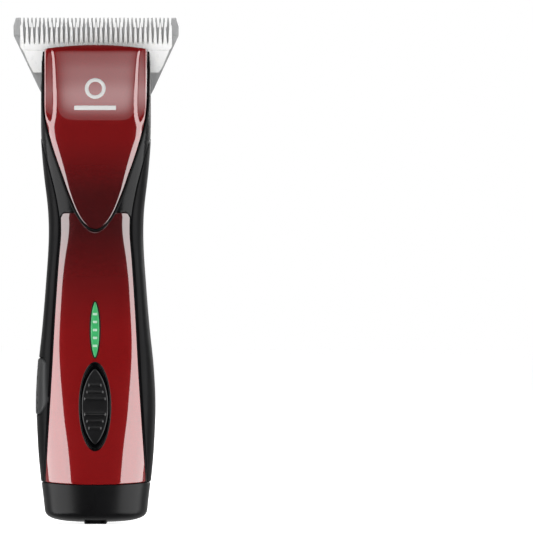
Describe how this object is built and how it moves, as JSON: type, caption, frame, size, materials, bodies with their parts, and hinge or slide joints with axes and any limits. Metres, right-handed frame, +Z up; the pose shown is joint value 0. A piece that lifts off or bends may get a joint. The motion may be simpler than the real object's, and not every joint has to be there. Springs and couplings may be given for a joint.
{
  "type": "cordless hair clipper",
  "caption": "Cordless hair clipper with a wide detachable blade set, glossy nose cover and front panel, sliding speed switch and a slide-out battery in the base.",
  "frame": {"origin": "middle of the contact rail under the battery cap, on the surface that the clipper stands on", "axes": "+Z runs up the clipper to the blade, -Y is the front with the nose cover and the switch, +X is to the right when the front is looked at"},
  "size_m": [0.0636, 0.0386, 0.1946],
  "materials": {
    "black_housing": "satin",
    "grip": "matte",
    "red_cover": "gloss",
    "seal": "matte",
    "badge": "satin",
    "lens": "gloss",
    "bezel": "gloss",
    "switch": "satin",
    "button": "satin",
    "cap": "satin",
    "ceramic": "satin",
    "blade_steel": "brushed",
    "bright_steel": "polished",
    "screws": "satin",
    "springs": "satin",
    "frame_metal": "satin",
    "lever_plastic": "satin",
    "copper": "satin",
    "rotor": "satin",
    "magnet": "matte",
    "board": "satin",
    "led": "gloss",
    "cell_wrap": "gloss",
    "lead": "satin"
  },
  "bodies": {
    "housing": {"front_housing": "black_housing", "rear_housing": "black_housing", "side_grip_left": "grip", "side_grip_right": "grip", "front_panel": "red_cover", "nose_cover": "red_cover", "nose_cover_seal": "seal", "nose_badge": "badge", "indicator_lens": "lens", "switch_bezel": "bezel", "slide_switch": "bright_steel", "main_board": "board", "board_chips": "black_housing", "indicator_leds": "led", "contact_block": "black_housing", "contact_springs": "copper", "release_button_guide": "black_housing", "release_spring": "springs", "drive_frame": "frame_metal", "lever_pivot_pin": "bright_steel", "motor_can": "bright_steel", "motor_magnets": "magnet", "motor_end_cap": "black_housing", "motor_bearings": "bright_steel", "motor_leads": "lead", "motor_screws": "screws", "housing_screws": "screws", "hinge_base": "frame_metal", "hinge_pin": "bright_steel", "hinge_screws": "screws", "lock_spring": "springs"},
    "battery": {"battery_case": "black_housing", "battery_cap": "cap", "contact_rail": "cap", "battery_cells": "cell_wrap", "battery_terminals": "copper", "charge_contacts": "bright_steel", "battery_catch": "springs"},
    "switch": {"switch_pad": "switch", "switch_knob": "switch"},
    "release": {"release_button": "button"},
    "lock": {"blade_lock_button": "button"},
    "lever": {"drive_lever": "lever_plastic"},
    "rotor": {"rotor_shaft": "bright_steel", "rotor_core": "rotor", "commutator": "copper", "eccentric_cam": "copper", "cam_bearing": "bright_steel"},
    "tongue": {"blade_tongue": "frame_metal"},
    "blade": {"comb_blade": "blade_steel", "blade_socket": "blade_steel", "tension_springs": "blade_steel", "blade_screws": "screws"},
    "cutter": {"cutter_blade": "ceramic", "cutter_drive_plate": "blade_steel"}
  },
  "joints": [
    {"name": "battery_slide", "type": "slide", "parent": "housing", "child": "battery", "axis": [0, 0, -1], "range_m": [0, 0.08], "deforming": ["battery_catch"]},
    {"name": "release_press", "type": "slide", "parent": "housing", "child": "release", "axis": [1, 0, 0], "range_m": [0, 0.0008], "stiffness_N_per_m": 400, "springref_m": -0.001, "deforming": ["release_spring", "battery_catch"]},
    {"name": "switch_slide", "type": "slide", "parent": "housing", "child": "switch", "axis": [0, 0, 1], "range_m": [-0.0015, 0.0015]},
    {"name": "blade_hinge", "type": "hinge", "parent": "housing", "child": "tongue", "pos_m": [0, 0.01042, 0.15467], "axis": [-1, 0, 0], "range_deg": [0, 50]},
    {"name": "blade_slide", "type": "slide", "parent": "tongue", "child": "blade", "axis": [0, -0.309, 0.9511], "range_m": [0, 0.016]},
    {"name": "cutter_stroke", "type": "slide", "parent": "blade", "child": "cutter", "axis": [1, 0, 0], "range_m": [-0.00104, 0.00104]},
    {"name": "lever_swing", "type": "hinge", "parent": "housing", "child": "lever", "pos_m": [0, 0, 0.152], "axis": [0, 1, 0], "range_deg": [-3, 3]},
    {"name": "rotor_spin", "type": "hinge", "parent": "housing", "child": "rotor", "pos_m": [0, 0, 0.11], "axis": [0, 0, 1], "continuous": true},
    {"name": "lock_slide", "type": "slide", "parent": "housing", "child": "lock", "axis": [0, 0, -1], "range_m": [0, 0.0025], "stiffness_N_per_m": 300, "springref_m": -0.001, "deforming": ["lock_spring"]}
  ],
  "couplings": [
    {"joint": "lever_swing", "follows": "cutter_stroke", "rad_per_m": 50.25}
  ]
}
